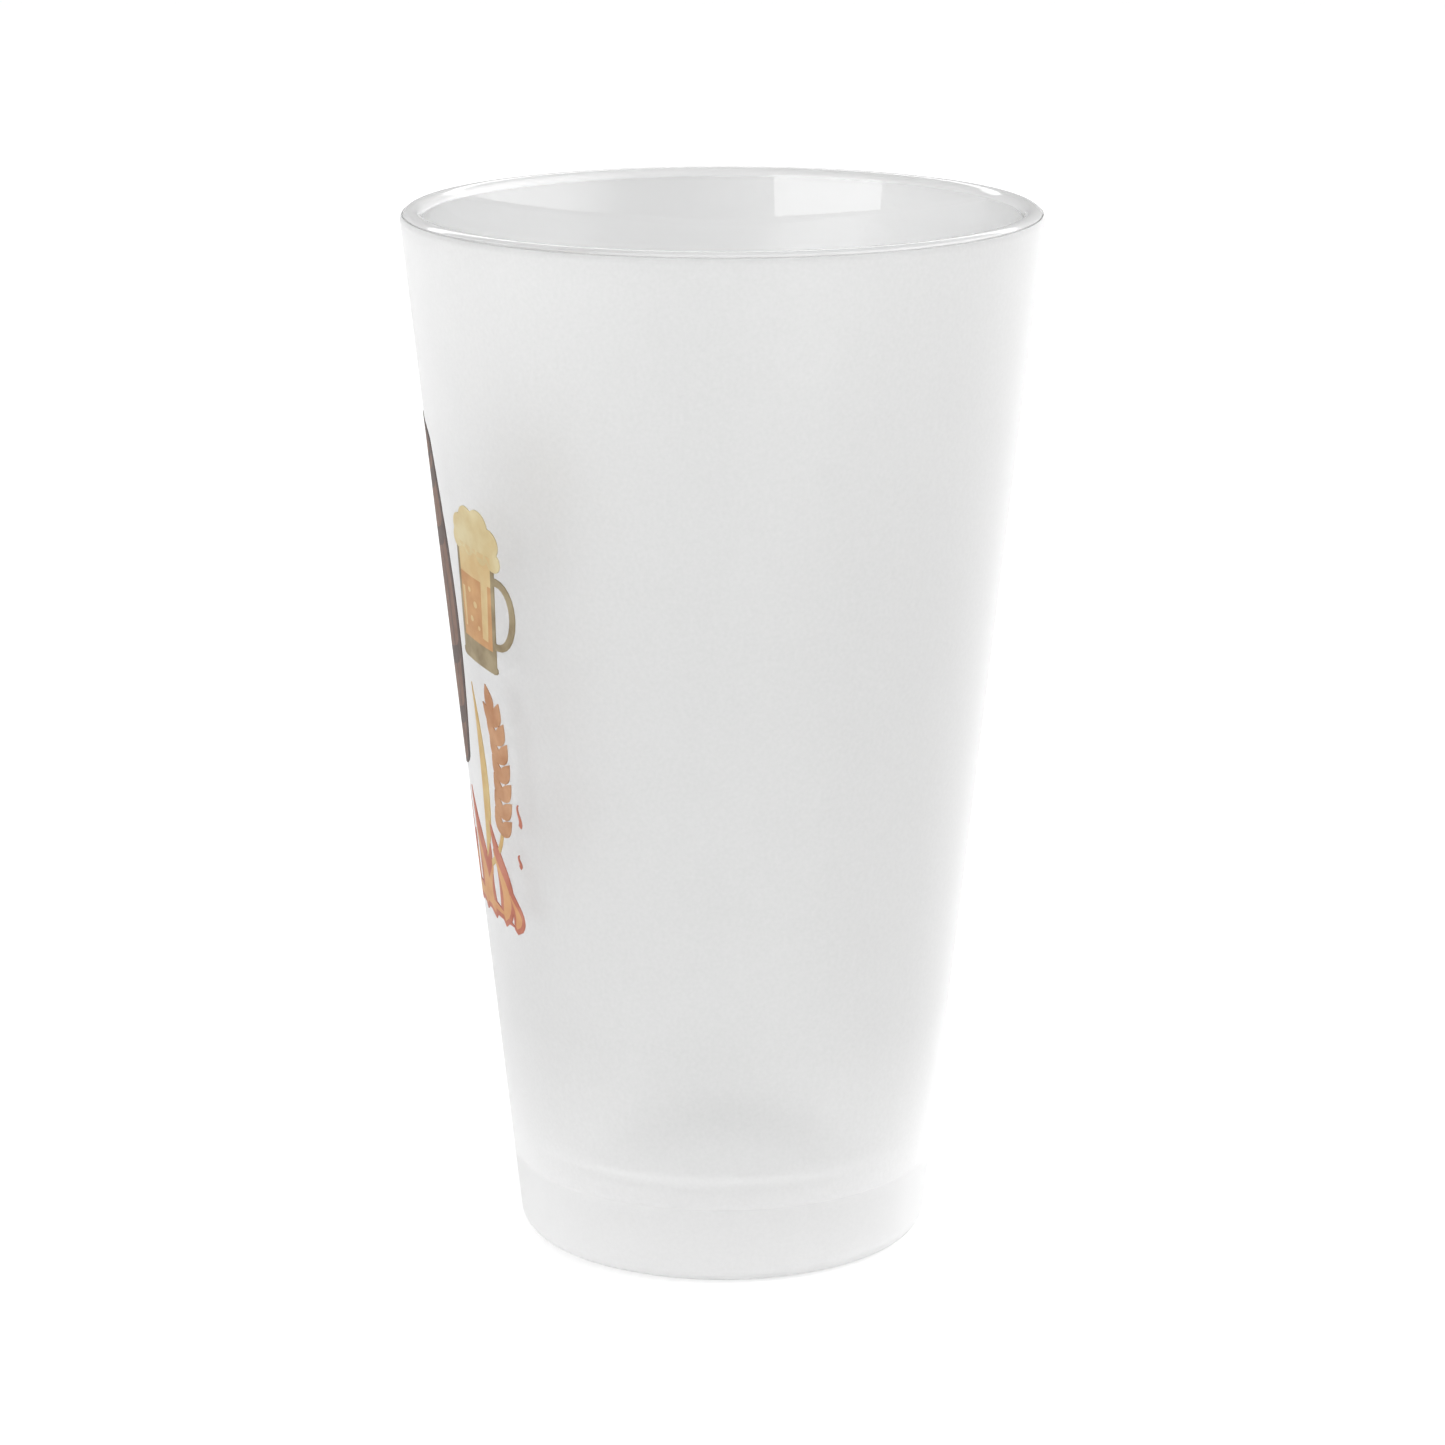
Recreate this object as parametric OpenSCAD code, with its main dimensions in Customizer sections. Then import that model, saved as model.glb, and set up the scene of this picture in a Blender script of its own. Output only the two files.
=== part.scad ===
// Frosted pint glass with a printed tavern emblem.
// A pressed-glass tumbler with a clear rounded lip, a tapering wall and a thick solid base. A thin
// frosted coat covers the outside from the heel up on to the round of the lip, and each colour of
// the emblem is one thin film of ink on the coat. Nothing moves.
// Origin: centre of the plane that the foot stands on. +Z up. The emblem faces -X. Millimetres.

/* [Glass] */
// Height from the table to the top of the lip
glass_h = 149; // [140:0.5:160]
// Outer radius that the straight wall reaches at full height
rim_r = 45; // [43:0.25:47]
// Outer radius that the straight wall reaches at the table
foot_r = 29.25; // [28:0.25:32]
// Radius of the full-round lip
lip_r = 1.5; // [1.2:0.1:1.8]
// Wall thickness at the cavity floor
wall_foot = 4.2; // [3.6:0.1:6]
// Height of the cavity floor above the table
floor_z = 12; // [10:0.5:16]
// Radius of the corner between the cavity floor and the wall
floor_corner_r = 8; // [5:0.5:12]
// Radius of the rounded outer heel
heel_r = 2.5; // [1.5:0.25:4]
// Radius of the shallow dome pressed into the underside
pushup_r = 22; // [18:0.5:24]
// Height of that dome
pushup_h = 1.2; // [0.5:0.1:2]

/* [Finish] */
// Thickness of the frosted coat
coat_t = 0.1; // [0.05:0.05:0.2]
// Clear band between the top of the lip and the coat
coat_gap = 0.7; // [0.5:0.1:4]
// Height of the coat's lower edge on the heel
coat_z = 0.6; // [0.4:0.1:1]
// Thickness of an ink film
ink_t = 0.1; // [0.05:0.05:0.2]

/* [Barrel] */
// Half width of the barrel at its bulge
barrel_hw = 13.5; // [12:0.5:15]
// Half width of the barrel at its ends
barrel_end_hw = 10; // [9:0.5:12]
// Height of the barrel's lower end on the glass
barrel_v0 = 73; // [70:1:76]
// Height of the barrel's upper end on the glass
barrel_v1 = 117; // [112:1:120]
// Width of the barrel's dark outline
outline_w = 1; // [0.6:0.1:1.5]
// Height of each barrel hoop
hoop_h = 2.6; // [2:0.1:3]

/* [Mug] */
// Distance of the mug's foot from the emblem's middle, along the wall
mug_u = 20; // [19:0.5:22]
// Height of the mug's foot on the glass
mug_v = 88; // [86:0.5:92]
// Outward lean of the mug in degrees
mug_lean = 9; // [0:1:12]
// Height of the mug without its foam
mug_h = 18; // [16:0.5:20]
// Width of the mug at its mouth
mug_w = 10; // [8:0.5:10]

/* [Barley] */
// Number of grain pairs in an ear
grain_pairs = 7; // [5:1:8]
// Length of a grain
grain_l = 4.2; // [3:0.1:4.4]
// Width of a grain
grain_w = 2.2; // [1.4:0.1:2.4]

/* [Flames] */
// Height of the flames' lower edge on the glass
flame_v = 50; // [48:0.5:52]
// Half width of the row of flames, along the wall
flame_hw = 20; // [18:0.5:21]

/* [Hidden] */
$fn = 180;

// Wall lines: the outside leans by wall_lean, the inside by cavity_lean
wall_slope = (rim_r - foot_r) / glass_h;
wall_lean = atan(wall_slope);
heel_c = [wall_r(heel_r) - heel_r / cos(wall_lean), heel_r];
lip_c = [wall_r(glass_h - lip_r) - lip_r / cos(wall_lean), glass_h - lip_r];
cavity_foot_r = wall_r(floor_z) - wall_foot;
cavity_lean_guess = atan((lip_c[0] - lip_r - cavity_foot_r) / (lip_c[1] - floor_z));
cavity_slope = (lip_c[0] - lip_r / cos(cavity_lean_guess) - cavity_foot_r) / (lip_c[1] - floor_z);
cavity_lean = atan(cavity_slope);
floor_c = [cavity_r(floor_z + floor_corner_r) - floor_corner_r / cos(cavity_lean), floor_z + floor_corner_r];
pushup_sphere_r = (pushup_r * pushup_r + pushup_h * pushup_h) / (2 * pushup_h);

function wall_r(z, grow = 0) = foot_r + wall_slope * z + grow / cos(wall_lean);
function cavity_r(z) = cavity_foot_r + cavity_slope * (z - floor_z);
function out_of_wall(d) = d * [cos(wall_lean), -sin(wall_lean)];

// Profile of the outside, grown outwards by the films that lie on it
module outside_profile(grow = 0) {
    polygon([
        [0, 0],
        [heel_c[0], 0],
        heel_c + out_of_wall(heel_r + grow),
        lip_c + out_of_wall(lip_r + grow),
        lip_c + [0, lip_r + grow],
        [0, lip_c[1] + lip_r + grow]
    ]);
    translate(heel_c) circle(heel_r + grow);
    translate(lip_c) circle(lip_r + grow);
}

module glass_profile() {
    difference() {
        union() {
            polygon([
                [0, 0],
                [heel_c[0], 0],
                heel_c + out_of_wall(heel_r),
                lip_c + out_of_wall(lip_r),
                lip_c + lip_r * [-cos(cavity_lean), sin(cavity_lean)],
                floor_c + floor_corner_r * [cos(cavity_lean), -sin(cavity_lean)],
                [floor_c[0], floor_z],
                [0, floor_z]
            ]);
            translate(heel_c) circle(heel_r);
            translate(lip_c) circle(lip_r);
        }
        translate(floor_c) circle(floor_corner_r);
        translate([0, pushup_h - pushup_sphere_r]) circle(pushup_sphere_r, $fn = 2000);
    }
}

module glass_body() {
    color([0.86, 0.9, 0.9, 0.4])
    rotate_extrude() intersection() {
        glass_profile();
        square([rim_r + 1, glass_h + 1]);
    }
}

module frost_coat() {
    color([0.9, 0.9, 0.9, 0.7])
    rotate_extrude() intersection() {
        difference() {
            outside_profile(coat_t);
            outside_profile();
        }
        translate([heel_c[0], coat_z]) square([rim_r, glass_h - coat_gap - coat_z]);
    }
}

// Flat shapes of the emblem are drawn unrolled, with u along the wall from the emblem's middle and
// v the height on the glass. Each is then laid on the coat, as seen along the emblem's own axis.
function deg(rad) = rad * 180 / PI;
function lerp(a, b, t) = a + (b - a) * t;
function wrap(p) = let (r = wall_r(p[1], coat_t)) [-r * sin(deg(p[0] / r)), p[1]];
function arc(c, rx, ry, a0, a1, n) =
    [for (i = [0:n]) let (a = lerp(a0, a1, i / n)) c + [rx * cos(a), ry * sin(a)]];
function curve(q, t) =
    pow(1 - t, 3) * q[0] + 3 * t * pow(1 - t, 2) * q[1] + 3 * t * t * (1 - t) * q[2] + pow(t, 3) * q[3];
// Unit vector at right angles to a curve, on its left
function side(q, t) =
    let (d = curve(q, min(1, t + 0.01)) - curve(q, max(0, t - 0.01))) [-d[1], d[0]] / norm(d);
// A band along a curve, with its half width going from w0 to w1
function band(q, w0, w1, n) = concat(
    [for (i = [0:n]) let (t = i / n) curve(q, t) + lerp(w0, w1, t) * side(q, t)],
    [for (i = [n:-1:0]) let (t = i / n) curve(q, t) - lerp(w0, w1, t) * side(q, t)]
);

module shape(points) polygon([for (p = points) wrap(p)]);

module both_sides() {
    children();
    mirror([1, 0]) children();
}

module ink(tint) {
    color(tint)
    intersection() {
        rotate_extrude() polygon([
            [wall_r(flame_v - 4, coat_t), flame_v - 4],
            [wall_r(flame_v - 4, coat_t + ink_t), flame_v - 4],
            [wall_r(barrel_v1 + 8, coat_t + ink_t), barrel_v1 + 8],
            [wall_r(barrel_v1 + 8, coat_t), barrel_v1 + 8]
        ]);
        translate([-rim_r - 5, 0, 0]) rotate([90, 0, 90]) linear_extrude(rim_r) children();
    }
}

// Barrel: bulging sides, an oval lid seen from above, hoops and staves
barrel_mid = (barrel_v0 + barrel_v1) / 2;
barrel_half = (barrel_v1 - barrel_v0) / 2;
lid_rise = 3.4;
stave_gap = 0.5;
bung_r = 2;

function bulge(v) = barrel_hw - (barrel_hw - barrel_end_hw) * pow((v - barrel_mid) / barrel_half, 2);
function barrel_edge(inset, n = 12) = concat(
    [for (i = [0:n]) let (v = lerp(barrel_v0, barrel_v1, i / n)) [bulge(v) - inset, v]],
    arc([0, barrel_v1], barrel_end_hw - inset, lid_rise - inset * 0.6, 15, 165, 10),
    [for (i = [n:-1:0]) let (v = lerp(barrel_v0, barrel_v1, i / n)) [inset - bulge(v), v]],
    arc([0, barrel_v0], barrel_end_hw - inset, lid_rise - inset * 0.6, 195, 345, 10)
);

// A band round the barrel between two heights, sagging like the near half of a ring
module hoop(v, h, n = 12) {
    shape(concat(
        [for (i = [0:n]) let (s = lerp(-1, 1, i / n)) [s * bulge(v), v - lid_rise * sqrt(1 - s * s)]],
        [for (i = [n:-1:0]) let (s = lerp(-1, 1, i / n))
            [s * bulge(v + h), v + h - lid_rise * sqrt(1 - s * s)]]
    ));
}

module hoops() {
    for (v = [barrel_v0 + 6, barrel_v0 + 15, barrel_v1 - 12, barrel_v1 - 4]) hoop(v, hoop_h);
}

module stave_gaps() {
    for (s = [-0.72, -0.42, -0.14, 0.14, 0.42, 0.72])
        shape(concat(
            [for (i = [0:8]) let (v = lerp(barrel_v0 - lid_rise, barrel_v1 - lid_rise / 2, i / 8))
                [s * bulge(v) - stave_gap / 2, v]],
            [for (i = [8:-1:0]) let (v = lerp(barrel_v0 - lid_rise, barrel_v1 - lid_rise / 2, i / 8))
                [s * bulge(v) + stave_gap / 2, v]]
        ));
}

module lid_ring() {
    difference() {
        shape(arc([0, barrel_v1], barrel_end_hw, lid_rise, 0, 345, 23));
        shape(arc([0, barrel_v1], barrel_end_hw - outline_w * 1.4, lid_rise - outline_w * 0.8, 0, 345, 23));
    }
}

module barrel_dark() {
    difference() {
        shape(barrel_edge(0));
        shape(barrel_edge(outline_w));
    }
    difference() {
        intersection() {
            shape(barrel_edge(outline_w / 2));
            union() {
                hoops();
                stave_gaps();
                lid_ring();
                shape(arc([0, barrel_mid], bung_r, bung_r, 0, 345, 23));
            }
        }
        shape(arc([0, barrel_mid], bung_r * 0.6, bung_r * 0.6, 0, 345, 23));
    }
}

module barrel_outline_ink() ink([0.36, 0.29, 0.27]) barrel_dark();

module barrel_wood_ink() {
    ink([0.52, 0.4, 0.33])
    difference() {
        shape(barrel_edge(outline_w));
        barrel_dark();
    }
}

// Mug: drawn upright with p across and q up from the middle of its foot, then leaned outwards. The
// beer is amber up to beer_top and pale under the foam
mug_line = 0.7;
mug_foot_h = 2.4;
beer_top = 12.6;

function on_mug(p) = [
    mug_u + p[0] * cos(mug_lean) + p[1] * sin(mug_lean),
    mug_v - p[0] * sin(mug_lean) + p[1] * cos(mug_lean)
];
function mug_hw(q) = mug_w / 2 * lerp(0.92, 1, q / mug_h);

module mug_shape(points) shape([for (p = points) on_mug(p)]);

// The mug's body between two heights, inset from its sides
module mug_body(q0, q1, inset) {
    mug_shape([
        [inset - mug_hw(q0), q0],
        [mug_hw(q0) - inset, q0],
        [mug_hw(q1) - inset, q1],
        [inset - mug_hw(q1), q1]
    ]);
}

module foam() {
    bubbles = [
        [-4.5, 17.2, 1.4], [-3.8, 19, 1.9], [-1.6, 20.4, 2.2], [1.5, 20.6, 2.4],
        [4, 19, 2.1], [4.9, 16.6, 1.5], [2.2, 16.6, 1.3], [-1.2, 16.8, 1.2]
    ];
    for (b = bubbles) mug_shape(arc([b[0], b[1]], b[2], b[2], 0, 350, 35));
    mug_body(16.4, 19.5, 0.4);
}

module mug_handle() {
    mug_shape(band([[4.3, 13.6], [10.4, 15.4], [9.8, 3], [4.1, 4.2]], 0.6, 0.5, 16));
}

module mug_foot() {
    mug_shape(concat(
        arc([mug_hw(0) - 0.5, 0.5], 0.9, 0.7, -90, 60, 4),
        arc([0.5 - mug_hw(0), 0.5], 0.9, 0.7, 120, 270, 4)
    ));
    mug_body(0.6, mug_foot_h, 0);
}

module highlights() {
    mug_body(beer_top, 17, mug_line);
    mug_shape(band([[2.2, 4.2], [2.3, 7], [2.4, 9], [2.5, beer_top + 0.2]], 0.75, 0.85, 6));
    mug_shape(band([[-3.2, 4.6], [-3.2, 6], [-3.3, 8], [-3.4, 10.5]], 0.25, 0.35, 6));
    for (b = [[-1.4, 6.2, 0.45], [-0.2, 8.6, 0.5], [-1.7, 10.4, 0.4], [0.6, 5.4, 0.35]])
        mug_shape(arc([b[0], b[1]], b[2], b[2], 0, 330, 11));
}

module mug_line_ink() {
    ink([0.66, 0.59, 0.46])
    both_sides() {
        difference() {
            union() {
                mug_body(mug_foot_h, mug_h, 0);
                mug_foot();
                mug_handle();
            }
            mug_body(mug_foot_h + mug_line, mug_h + 1, mug_line);
            foam();
        }
    }
}

module mug_beer_ink() {
    ink([0.86, 0.66, 0.45])
    both_sides() {
        difference() {
            mug_body(mug_foot_h + mug_line, mug_h, mug_line);
            highlights();
            foam();
        }
    }
}

module mug_highlight_ink() ink([0.9, 0.8, 0.58]) both_sides() highlights();

module mug_foam_ink() ink([0.92, 0.86, 0.69]) both_sides() foam();

// Barley: an ear on an arching stalk below each mug, with one long leaf beside it
ear = [[19.6, 63], [21.6, 69], [22.8, 76], [21.4, 81.6]];
stalk = [[9, 56], [13, 56.5], [17.6, 58.5], [19.6, 63]];
leaf = [[12.5, 57.5], [15.5, 62], [17.2, 72], [15.9, 84.5]];

// A pointed grain that leans away from the ear's axis
module grain(t, turn) {
    a = side(ear, t);
    lean = atan2(-a[0], a[1]) + turn;
    foot = curve(ear, t);
    tip = foot + grain_l * [cos(lean), sin(lean)];
    across = [-sin(lean), cos(lean)];
    shape(concat(
        [for (i = [0:6]) lerp(foot, tip, i / 6) + across * grain_w / 2 * sin(180 * pow(i / 6, 0.8))],
        [for (i = [5:-1:1]) lerp(foot, tip, i / 6) - across * grain_w / 2 * sin(180 * pow(i / 6, 0.8))]
    ));
}

module grains() {
    for (i = [0:grain_pairs - 1], turn = [-32, 32]) grain(i / grain_pairs, turn);
    grain(0.97, 0);
}

module leaves() {
    shape(band(stalk, 0.5, 0.35, 10));
    shape(concat(
        [for (i = [0:12]) let (t = i / 12) curve(leaf, t) + 1.1 * sin(180 * t) * side(leaf, t)],
        [for (i = [11:-1:1]) let (t = i / 12) curve(leaf, t) - 1.1 * sin(180 * t) * side(leaf, t)]
    ));
}

module barley_grain_ink() ink([0.83, 0.62, 0.45]) both_sides() grains();

module barley_leaf_ink() {
    ink([0.88, 0.75, 0.52])
    both_sides() {
        difference() {
            leaves();
            grains();
            flames(1, 0);
        }
    }
}

// Flames: S-shaped drops that lean either way along a shallow crescent, in two colours
tongues = [
    [0, 6.4, 18, 0], [4.9, 4.2, 11, -1.3], [9.3, 5.4, 18, 1.5],
    [13.5, 4, 11.5, -1.3], [17, 4.2, 15.5, 1.4], [20.3, 2.8, 7.5, 0.9]
];
core_scale = 0.56;
core_inset = 0.8;

function flame_bed(u) = flame_v + 1.2 * (1 - pow(u / flame_hw, 2));

// A drop with its round end down, half as wide as it is full at the height t = 0.28 and pointed above
module tongue(u, w, h, sway, size, inset) {
    half = w / 2 * size;
    rise = h * lerp(1, size, 0.75);
    foot = flame_bed(u) - 1.4 + inset;
    steps = 12;
    shape(concat(
        [for (i = [0:steps]) let (t = i / steps)
            [u + sway * sin(250 * t) - half * sin(180 * pow(t, 0.55)), foot + rise * t]],
        [for (i = [steps - 1:-1:1]) let (t = i / steps)
            [u + sway * sin(250 * t) + half * sin(180 * pow(t, 0.55)), foot + rise * t]]
    ));
}

module bed(size, inset) {
    hw = flame_hw * lerp(1, size, 0.15);
    deep = 2.8 * size;
    shape(concat(
        [for (i = [-10:10]) [hw * i / 10, flame_bed(hw * i / 10) - 0.6 + inset]],
        [for (i = [9:-1:-9])
            [hw * i / 10, flame_bed(hw * i / 10) - 0.6 + inset + deep * (1 - pow(i / 10, 4))]]
    ));
}

module flames(size, inset) {
    for (f = tongues) {
        tongue(f[0], f[1], f[2], f[3], size, inset);
        if (f[0] > 0) mirror([1, 0]) tongue(f[0], f[1], f[2], f[3], size, inset);
    }
    bed(size, inset);
}

module sparks() {
    for (s = [[24.8, 65.4, 3.2], [23.4, 59.2, 1.8]])
        shape(band([[s[0], s[1]], [s[0] + 0.9, s[1] + s[2] * 0.3], [s[0] - 0.7, s[1] + s[2] * 0.7],
            [s[0] + 0.2, s[1] + s[2]]], 0.32, 0.08, 8));
}

module flame_edge_ink() {
    ink([0.82, 0.5, 0.42]) {
        difference() {
            flames(1, 0);
            flames(core_scale, core_inset);
        }
        both_sides() sparks();
    }
}

module flame_core_ink() ink([0.9, 0.68, 0.48]) flames(core_scale, core_inset);

glass_body();
frost_coat();
barrel_outline_ink();
barrel_wood_ink();
mug_line_ink();
mug_beer_ink();
mug_highlight_ink();
mug_foam_ink();
barley_grain_ink();
barley_leaf_ink();
flame_edge_ink();
flame_core_ink();
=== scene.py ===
"""Looks of the frosted pint glass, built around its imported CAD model. Metres, +Z up, emblem facing -X."""

import math

import bmesh
import bpy
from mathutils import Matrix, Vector


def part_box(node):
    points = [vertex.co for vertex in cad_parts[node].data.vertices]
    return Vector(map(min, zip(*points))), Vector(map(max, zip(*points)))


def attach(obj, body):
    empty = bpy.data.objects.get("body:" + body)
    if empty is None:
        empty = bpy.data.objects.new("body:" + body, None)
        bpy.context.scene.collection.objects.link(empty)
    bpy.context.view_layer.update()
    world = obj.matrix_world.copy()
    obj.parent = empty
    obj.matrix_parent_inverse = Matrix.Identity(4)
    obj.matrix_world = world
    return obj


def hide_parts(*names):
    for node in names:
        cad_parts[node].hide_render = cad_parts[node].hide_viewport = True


MM = 0.001

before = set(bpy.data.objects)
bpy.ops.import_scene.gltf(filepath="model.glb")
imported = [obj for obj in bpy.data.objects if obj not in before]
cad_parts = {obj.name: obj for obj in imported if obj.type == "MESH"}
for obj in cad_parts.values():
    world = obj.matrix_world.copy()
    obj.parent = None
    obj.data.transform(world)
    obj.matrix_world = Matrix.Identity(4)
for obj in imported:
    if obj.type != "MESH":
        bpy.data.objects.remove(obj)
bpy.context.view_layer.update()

# ---------------------------------------------------------------- sizes, from the frame where it has them
GLASS_LOW, GLASS_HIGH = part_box("glass_body")
COAT_LOW, COAT_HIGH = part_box("frost_coat")
HEIGHT = GLASS_HIGH.z
LIP_R = 1.5 * MM
HEEL_R = 2.5 * MM
FOOT_R = 29.25 * MM
RIM_R = 45 * MM
WALL_FOOT = 4.2 * MM
FLOOR_Z = 12 * MM
FLOOR_CORNER_R = 8 * MM
PUSHUP_R = 22 * MM
PUSHUP_H = 1.2 * MM
COAT_T = 0.1 * MM
SKIN_GAP = 0.02 * MM
# where the coat's painted glow over the solid base ends in a crisp painted light step, half the width of
# that step, and where the painted glow has faded out
BASE_TOP = 11.6 * MM
PAINTED_EDGE_HALF = 0.15 * MM
PAINTED_GLOW_TOP = 35 * MM
# how far round the heel the coat reaches, how far inside the wall's line a face still counts as outside,
# and how far below the lip's middle its glass, painted milky with light, starts
COAT_FOOT = math.radians(50)
OUTER_SKIN = 1.2 * MM
LIP_START = 0.2 * MM
TURN_STEPS = 288


def rotated(angle):
    return Vector((math.cos(angle), math.sin(angle)))


def arc(centre, radius, start, end, steps):
    """Points of a circular arc in the (radius, height) plane."""
    return [centre + radius * rotated(start + (end - start) * i / steps) for i in range(steps + 1)]


def wall_r(z, grow=0.0):
    """Outer radius of the straight wall at a height, grown outwards."""
    return FOOT_R + SLOPE * z + grow / math.cos(LEAN)


SLOPE = (RIM_R - FOOT_R) / HEIGHT
LEAN = math.atan(SLOPE)
HEEL_C = Vector((wall_r(HEEL_R) - HEEL_R / math.cos(LEAN), HEEL_R))
LIP_C = Vector((wall_r(HEIGHT - LIP_R) - LIP_R / math.cos(LEAN), HEIGHT - LIP_R))
CAVITY_FOOT_R = wall_r(FLOOR_Z) - WALL_FOOT
CAVITY_LEAN = math.atan((LIP_C.x - LIP_R - CAVITY_FOOT_R) / (LIP_C.y - FLOOR_Z))
FLOOR_C = Vector((
    CAVITY_FOOT_R + math.tan(CAVITY_LEAN) * FLOOR_CORNER_R - FLOOR_CORNER_R / math.cos(CAVITY_LEAN),
    FLOOR_Z + FLOOR_CORNER_R,
))


# ---------------------------------------------------------------- mesh helpers
def lathe(name, profile, closed=False):
    """A surface of revolution through (radius, height) points, with smooth shading."""
    mesh = bmesh.new()
    rings = []
    for point in profile:
        if point[0] < 1e-6:
            rings.append([mesh.verts.new((0, 0, point[1]))])
            continue
        ring = []
        for k in range(TURN_STEPS):
            angle = 2 * math.pi * k / TURN_STEPS
            ring.append(mesh.verts.new((point[0] * math.cos(angle), point[0] * math.sin(angle), point[1])))
        rings.append(ring)
    pairs = list(zip(rings, rings[1:]))
    if closed:
        pairs.append((rings[-1], rings[0]))
    for low, high in pairs:
        for k in range(TURN_STEPS):
            n = (k + 1) % TURN_STEPS
            if len(low) == 1:
                mesh.faces.new((low[0], high[k], high[n]))
            elif len(high) == 1:
                mesh.faces.new((low[k], low[n], high[0]))
            else:
                mesh.faces.new((low[k], low[n], high[n], high[k]))
    bmesh.ops.recalc_face_normals(mesh, faces=mesh.faces)
    data = bpy.data.meshes.new(name)
    mesh.to_mesh(data)
    mesh.free()
    data.polygons.foreach_set("use_smooth", [True] * len(data.polygons))
    piece = bpy.data.objects.new(name, data)
    bpy.context.scene.collection.objects.link(piece)
    return piece


# ---------------------------------------------------------------- materials
class Nodes:
    """A new node material and short calls that add to it."""

    def __init__(self, name):
        self.material = bpy.data.materials.new(name)
        self.material.use_nodes = True
        self.tree = self.material.node_tree
        self.tree.nodes.clear()
        self.output = self.tree.nodes.new("ShaderNodeOutputMaterial")

    def add(self, kind):
        return self.tree.nodes.new("ShaderNode" + kind)

    def link(self, source, out, target, socket):
        self.tree.links.new(source.outputs[out], target.inputs[socket])


def noise(nodes, scale, detail=4.0, roughness=0.5):
    place = nodes.add("TexCoord")
    texture = nodes.add("TexNoise")
    texture.inputs["Scale"].default_value = scale
    texture.inputs["Detail"].default_value = detail
    texture.inputs["Roughness"].default_value = roughness
    nodes.link(place, "Object", texture, "Vector")
    return texture


def ranged(nodes, source, low, high, out="Fac", start=0.0, end=1.0):
    """Maps an output that runs from start to end to low to high."""
    node = nodes.add("MapRange")
    node.inputs["From Min"].default_value = start
    node.inputs["From Max"].default_value = end
    node.inputs["To Min"].default_value = low
    node.inputs["To Max"].default_value = high
    nodes.link(source, out, node, "Value")
    return node


def polished_glass(name, tint, transmission, smooth, rough):
    """Soda-lime glass between two roughnesses, with the faint waviness of a pressed surface."""
    nodes = Nodes(name)
    shader = nodes.add("BsdfPrincipled")
    shader.inputs["Base Color"].default_value = (*tint, 1)
    shader.inputs["IOR"].default_value = 1.5
    shader.inputs["Transmission Weight"].default_value = transmission
    nodes.link(ranged(nodes, noise(nodes, 400, 3), smooth, rough), "Result", shader, "Roughness")
    bump = nodes.add("Bump")
    bump.inputs["Strength"].default_value = 0.04
    bump.inputs["Distance"].default_value = 0.2 * MM
    nodes.link(noise(nodes, 60, 2), "Fac", bump, "Height")
    nodes.link(bump, "Normal", shader, "Normal")
    nodes.link(shader, "BSDF", nodes.output, "Surface")
    return nodes.material


def clear_glass():
    """The fire-polished inside and underside."""
    return polished_glass("clear_glass", (0.985, 0.99, 0.988), 1.0, 0.0, 0.03)


def lip_glass():
    """The polished lip, painted milky: painted light that stands in for the light the frosted wall scatters up
    into it.
    """
    return polished_glass("lip_glass", (0.88, 0.88, 0.88), 0.3, 0.04, 0.1)


def frosted_face():
    """The outer wall of the glass where the frosting is bonded to it."""
    nodes = Nodes("frosted_face")
    shader = nodes.add("BsdfPrincipled")
    shader.inputs["Base Color"].default_value = (1, 1, 1, 1)
    shader.inputs["IOR"].default_value = 1.45
    shader.inputs["Transmission Weight"].default_value = 1.0
    rough = ranged(nodes, noise(nodes, 2500, 2), 0.42, 0.5)
    nodes.link(rough, "Result", shader, "Roughness")
    nodes.link(shader, "BSDF", nodes.output, "Surface")
    return nodes.material


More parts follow.
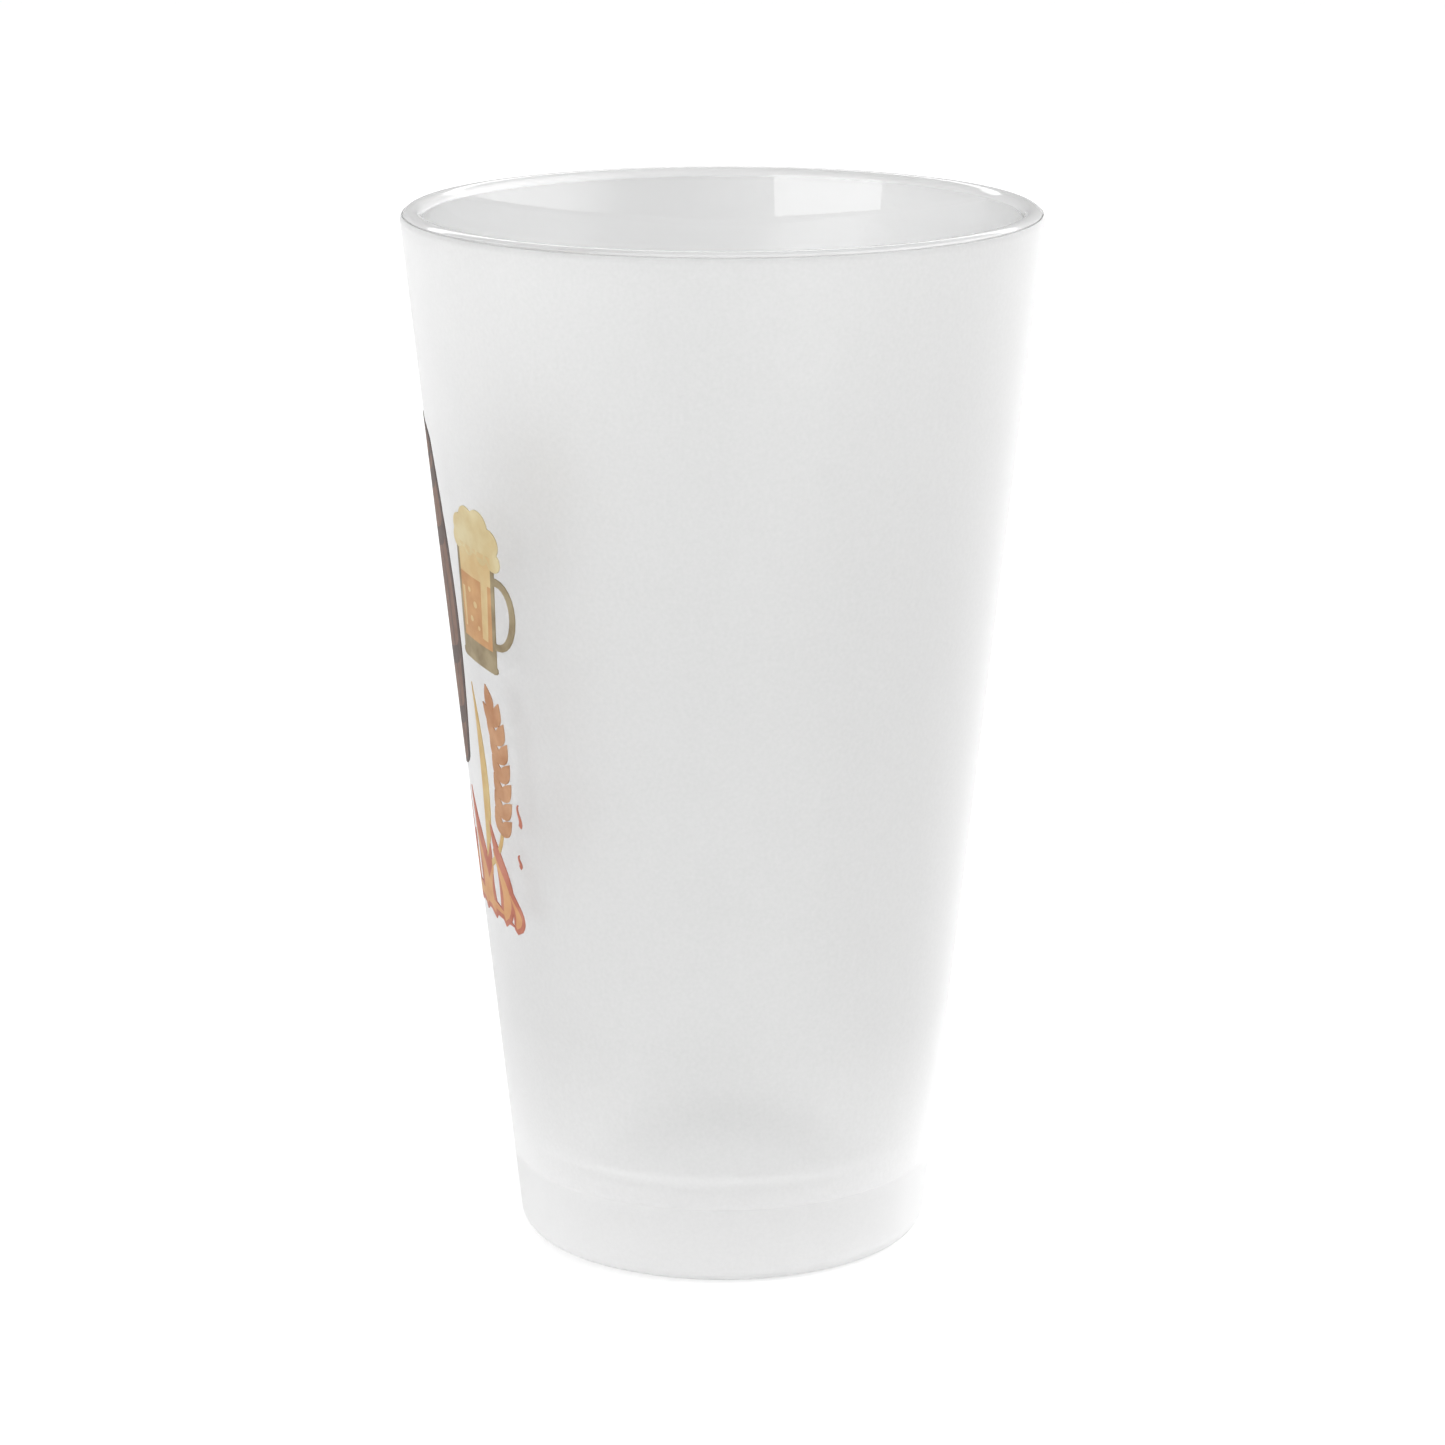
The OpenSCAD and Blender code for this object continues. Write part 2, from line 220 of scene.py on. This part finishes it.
def frosting():
    """A thin satin veil, denser where it is seen aslant. Over the solid base it is painted whiter and denser, a
    painted glow for the light the solid base carries, ending in a crisp painted light step at the cavity
    floor's height.
    """
    nodes = Nodes("frosting")
    place = nodes.add("TexCoord")
    split = nodes.add("SeparateXYZ")
    nodes.link(place, "Object", split, "Vector")
    # painted light step: a crisp edge at the cavity floor's height, below which the veil is painted denser and
    # whiter
    above_painted_edge = ranged(nodes, split, 0.0, 1.0, "Z", BASE_TOP - PAINTED_EDGE_HALF, BASE_TOP + PAINTED_EDGE_HALF)
    # painted glow: the veil is painted whiter over the solid base, fading to grey up the wall
    white = ranged(nodes, split, 0.99, 0.86, "Z", BASE_TOP, PAINTED_GLOW_TOP)
    clear = nodes.add("BsdfTransparent")
    clear.inputs["Color"].default_value = (1, 1, 1, 1)
    back = nodes.add("BsdfTranslucent")
    nodes.link(white, "Result", back, "Color")
    front = nodes.add("BsdfDiffuse")
    nodes.link(white, "Result", front, "Color")
    both = nodes.add("MixShader")
    # more translucent below the painted light step, part of the painted glow of the solid base
    nodes.link(ranged(nodes, above_painted_edge, 0.6, 0.75, "Result"), "Result", both, 0)
    nodes.link(back, "BSDF", both, 1)
    nodes.link(front, "BSDF", both, 2)
    # light that crosses a layer aslant meets 1 / cosine as much of it
    facing = nodes.add("LayerWeight")
    facing.inputs["Blend"].default_value = 0.5
    cosine = nodes.add("Math")
    cosine.operation = "SUBTRACT"
    cosine.inputs[0].default_value = 1.03
    nodes.link(facing, "Facing", cosine, 1)
    slant = nodes.add("Math")
    slant.operation = "DIVIDE"
    slant.inputs[0].default_value = 1.0
    nodes.link(cosine, "Value", slant, 1)
    grain = ranged(nodes, noise(nodes, 1800, 3), 0.03, -0.03)
    through = nodes.add("Math")
    # less clear below the painted light step, part of the painted glow of the solid base
    nodes.link(ranged(nodes, above_painted_edge, 0.32, 0.54, "Result"), "Result", through, 0)
    nodes.link(grain, "Result", through, 1)
    left = nodes.add("Math")
    left.operation = "POWER"
    nodes.link(through, "Value", left, 0)
    nodes.link(slant, "Value", left, 1)
    veil = nodes.add("MixShader")
    nodes.link(left, "Value", veil, 0)
    nodes.link(both, "Shader", veil, 1)
    nodes.link(clear, "BSDF", veil, 2)
    nodes.link(veil, "Shader", nodes.output, "Surface")
    return nodes.material


def clear_film():
    """The side of the frosting that is bonded to the glass, where nothing more happens to the light."""
    nodes = Nodes("clear_film")
    clear = nodes.add("BsdfTransparent")
    clear.inputs["Color"].default_value = (1, 1, 1, 1)
    nodes.link(clear, "BSDF", nodes.output, "Surface")
    return nodes.material


def ink(name, light, dark, grain=900):
    """A printed ink film: two tones of one colour in soft patches, with the fine grain of a screen print."""
    nodes = Nodes(name)
    shader = nodes.add("BsdfPrincipled")
    shader.inputs["Specular IOR Level"].default_value = 0.3
    shader.inputs["Transmission Weight"].default_value = 0.35
    mix = nodes.add("ValToRGB")
    mix.color_ramp.elements[0].position = 0.35
    mix.color_ramp.elements[0].color = (*dark, 1)
    mix.color_ramp.elements[1].position = 0.65
    mix.color_ramp.elements[1].color = (*light, 1)
    nodes.link(noise(nodes, 260, 3), "Fac", mix, "Fac")
    nodes.link(mix, "Color", shader, "Base Color")
    rough = ranged(nodes, noise(nodes, grain, 3), 0.45, 0.65)
    nodes.link(rough, "Result", shader, "Roughness")
    bump = nodes.add("Bump")
    bump.inputs["Strength"].default_value = 0.25
    bump.inputs["Distance"].default_value = 0.03 * MM
    nodes.link(noise(nodes, grain * 2, 2), "Fac", bump, "Height")
    nodes.link(bump, "Normal", shader, "Normal")
    nodes.link(shader, "BSDF", nodes.output, "Surface")
    return nodes.material


# ---------------------------------------------------------------- the tumbler
def glass_profile():
    """From the middle of the underside, out round the heel, up the wall, over the lip and down to the floor."""
    sphere_r = (PUSHUP_R ** 2 + PUSHUP_H ** 2) / (2 * PUSHUP_H)
    dome_c = Vector((0, PUSHUP_H - sphere_r))
    dome_edge = math.atan2(-dome_c.y, PUSHUP_R)
    under = arc(dome_c, sphere_r, math.pi / 2, dome_edge, 10)
    heel = arc(HEEL_C, HEEL_R, -math.pi / 2, -LEAN, 14)
    wall = [heel[-1].lerp(LIP_C + LIP_R * rotated(-LEAN), i / 24) for i in range(1, 24)]
    lip = arc(LIP_C, LIP_R, -LEAN, math.pi - CAVITY_LEAN, 26)
    corner_start = FLOOR_C + FLOOR_CORNER_R * rotated(-CAVITY_LEAN)
    inside = [lip[-1].lerp(corner_start, i / 24) for i in range(1, 24)]
    corner = arc(FLOOR_C, FLOOR_CORNER_R, -CAVITY_LEAN, -math.pi / 2, 18)
    floor = [Vector((FLOOR_C.x * (1 - i / 6), FLOOR_Z)) for i in range(1, 7)]
    return under + heel + wall + lip + inside + corner + floor


def make_tumbler():
    piece = lathe("tumbler", glass_profile())
    piece.data.materials.append(clear_glass())
    piece.data.materials.append(frosted_face())
    piece.data.materials.append(lip_glass())
    for face in piece.data.polygons:
        c = face.center
        outside = math.hypot(c.x, c.y) > wall_r(c.z) - OUTER_SKIN
        if outside and COAT_LOW.z < c.z < COAT_HIGH.z:
            face.material_index = 1
        # the lip's faces get glass painted milky, painted light for what the frosted wall scatters up into it
        elif c.z > LIP_C.y - LIP_START:
            face.material_index = 2
    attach(piece, "root")
    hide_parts("glass_body")
    return piece


def coat_line(grow):
    """The coat's line in the (radius, height) plane, from low on the heel up the wall and on to the lip."""
    heel = arc(HEEL_C, HEEL_R + grow, -COAT_FOOT, -LEAN, 10)
    lip = arc(LIP_C, LIP_R + grow, -LEAN, math.asin((COAT_HIGH.z - LIP_C.y) / (LIP_R + grow)), 8)
    wall = [heel[-1].lerp(lip[0], i / 24) for i in range(1, 24)]
    return heel + wall + lip


def make_frosting():
    inner = coat_line(SKIN_GAP)
    piece = lathe("frosting", inner + coat_line(COAT_T)[::-1], closed=True)
    piece.data.materials.append(frosting())
    piece.data.materials.append(clear_film())
    for face in piece.data.polygons:
        face.material_index = int(face.index // TURN_STEPS < len(inner) - 1)
    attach(piece, "root")
    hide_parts("frost_coat")
    return piece


INKS = {
    "barrel_outline_ink": ((0.13, 0.085, 0.07), (0.09, 0.06, 0.05)),
    "barrel_wood_ink": ((0.27, 0.15, 0.1), (0.19, 0.1, 0.07)),
    "mug_line_ink": ((0.44, 0.36, 0.22), (0.27, 0.2, 0.11)),
    "mug_beer_ink": ((0.7, 0.42, 0.19), (0.58, 0.3, 0.13)),
    "mug_highlight_ink": ((0.76, 0.62, 0.34), (0.7, 0.5, 0.24)),
    "mug_foam_ink": ((0.78, 0.68, 0.42), (0.68, 0.54, 0.28)),
    "barley_grain_ink": ((0.66, 0.38, 0.21), (0.52, 0.25, 0.12)),
    "barley_leaf_ink": ((0.74, 0.56, 0.26), (0.66, 0.44, 0.17)),
    "flame_edge_ink": ((0.64, 0.25, 0.17), (0.54, 0.16, 0.1)),
    "flame_core_ink": ((0.78, 0.46, 0.21), (0.7, 0.34, 0.15)),
}


def print_emblem():
    for node, (light, dark) in INKS.items():
        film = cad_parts[node]
        film.data.materials.clear()
        film.data.materials.append(ink(node, light, dark))


# ---------------------------------------------------------------- stage, light and camera
def make_floor():
    mesh = bmesh.new()
    bmesh.ops.create_circle(mesh, cap_ends=True, radius=8, segments=96)
    data = bpy.data.meshes.new("floor")
    mesh.to_mesh(data)
    mesh.free()
    floor = bpy.data.objects.new("floor", data)
    bpy.context.scene.collection.objects.link(floor)
    nodes = Nodes("floor_white")
    paint = nodes.add("BsdfDiffuse")
    paint.inputs["Color"].default_value = (0.55, 0.55, 0.55, 1)
    glow = nodes.add("Emission")
    lift = ranged(nodes, nodes.add("LightPath"), FLOOR_GLOW, FLOOR_GLOW + FLOOR_LIFT, "Is Camera Ray")
    nodes.link(lift, "Result", glow, "Strength")
    both = nodes.add("AddShader")
    nodes.link(paint, "BSDF", both, 0)
    nodes.link(glow, "Emission", both, 1)
    nodes.link(both, "Shader", nodes.output, "Surface")
    floor.data.materials.append(nodes.material)


def make_world():
    """Bright on the right, soft or dim elsewhere, and plain white where the camera sees it."""
    world = bpy.data.worlds.new("studio")
    bpy.context.scene.world = world
    world.use_nodes = True
    tree = world.node_tree
    tree.nodes.clear()
    out = tree.nodes.new("ShaderNodeOutputWorld")
    place = tree.nodes.new("ShaderNodeTexCoord")
    mix = tree.nodes.new("ShaderNodeMixShader")
    path = tree.nodes.new("ShaderNodeLightPath")
    plain = tree.nodes.new("ShaderNodeBackground")
    plain.inputs["Color"].default_value = (1, 1, 1, 1)
    plain.inputs["Strength"].default_value = BACKDROP
    total = None
    for azimuth, elevation, strength in SIDE_LIGHTS:
        facing = tree.nodes.new("ShaderNodeVectorMath")
        facing.operation = "DOT_PRODUCT"
        facing.inputs[1].default_value = direction(azimuth, elevation)
        lobe = tree.nodes.new("ShaderNodeMapRange")
        lobe.interpolation_type = "SMOOTHSTEP"
        lobe.inputs["From Min"].default_value = LOBE_EDGE
        lobe.inputs["From Max"].default_value = LOBE_CORE
        lobe.inputs["To Min"].default_value = 0.0
        lobe.inputs["To Max"].default_value = strength
        add = tree.nodes.new("ShaderNodeMath")
        tree.links.new(place.outputs["Generated"], facing.inputs[0])
        tree.links.new(facing.outputs["Value"], lobe.inputs["Value"])
        tree.links.new(lobe.outputs["Result"], add.inputs[0])
        if total:
            tree.links.new(total.outputs["Value"], add.inputs[1])
        else:
            add.inputs[1].default_value = AMBIENT
        total = add
    background = tree.nodes.new("ShaderNodeBackground")
    background.inputs["Color"].default_value = (1, 1, 1, 1)
    tree.links.new(total.outputs["Value"], background.inputs["Strength"])
    tree.links.new(path.outputs["Is Camera Ray"], mix.inputs[0])
    tree.links.new(background.outputs[0], mix.inputs[1])
    tree.links.new(plain.outputs[0], mix.inputs[2])
    tree.links.new(mix.outputs[0], out.inputs["Surface"])


def direction(azimuth, elevation):
    """A unit vector. Azimuth 0 points at the camera, positive to its right."""
    a, e = math.radians(azimuth), math.radians(elevation)
    return Vector((math.sin(a) * math.cos(e), -math.cos(a) * math.cos(e), math.sin(e)))


def softbox(name, azimuth, elevation, distance, size, power):
    """An area light aimed at the middle of the glass. Azimuth 0 is behind the camera, positive to its right."""
    light = bpy.data.lights.new(name, "AREA")
    light.shape = "RECTANGLE"
    light.size, light.size_y = size
    light.energy = power
    lamp = bpy.data.objects.new(name, light)
    bpy.context.scene.collection.objects.link(lamp)
    target = Vector((0, 0, HEIGHT / 2))
    offset = direction(azimuth, elevation)
    lamp.location = target + distance * offset
    lamp.rotation_euler = (-offset).to_track_quat("-Z", "Y").to_euler()
    return lamp


# azimuth, elevation and strength of each soft bright side of the studio, and the light between them
SIDE_LIGHTS = [(90, 15, 3.4), (135, 15, 0.2), (180, 15, 0.4), (225, 15, 0.4), (315, 15, 0.7)]
AMBIENT = 0.08
# cosines of the angles from a bright side's middle at which it starts to fade and has gone, and the white
# behind the floor
LOBE_CORE = 0.996
LOBE_EDGE = 0.574
BACKDROP = 1.05
# the floor's own light, and how much whiter it is where the camera sees it directly, the same in every view
FLOOR_GLOW = 0.46
FLOOR_LIFT = 0.16
CAMERA_DISTANCE = 617.2 * MM
CAMERA_HEIGHT = 233.4 * MM
CAMERA_PITCH = math.radians(14.43)
CAMERA_LENS = 110.5


def make_camera():
    data = bpy.data.cameras.new("camera")
    data.lens = CAMERA_LENS
    data.sensor_width = 36
    data.clip_end = 50
    camera = bpy.data.objects.new("camera", data)
    bpy.context.scene.collection.objects.link(camera)
    camera.location = (0, -CAMERA_DISTANCE, CAMERA_HEIGHT)
    camera.rotation_euler = (math.pi / 2 - CAMERA_PITCH, 0, 0)
    bpy.context.scene.camera = camera


make_camera()
make_tumbler()
make_frosting()
print_emblem()
make_floor()
make_world()
softbox("window", -44, 17.5, 1.6, (1.35, 1.15), 15)
softbox("rear", 180, 34, 1.5, (2.4, 0.25), 6)
bpy.context.scene.view_settings.view_transform = "Standard"
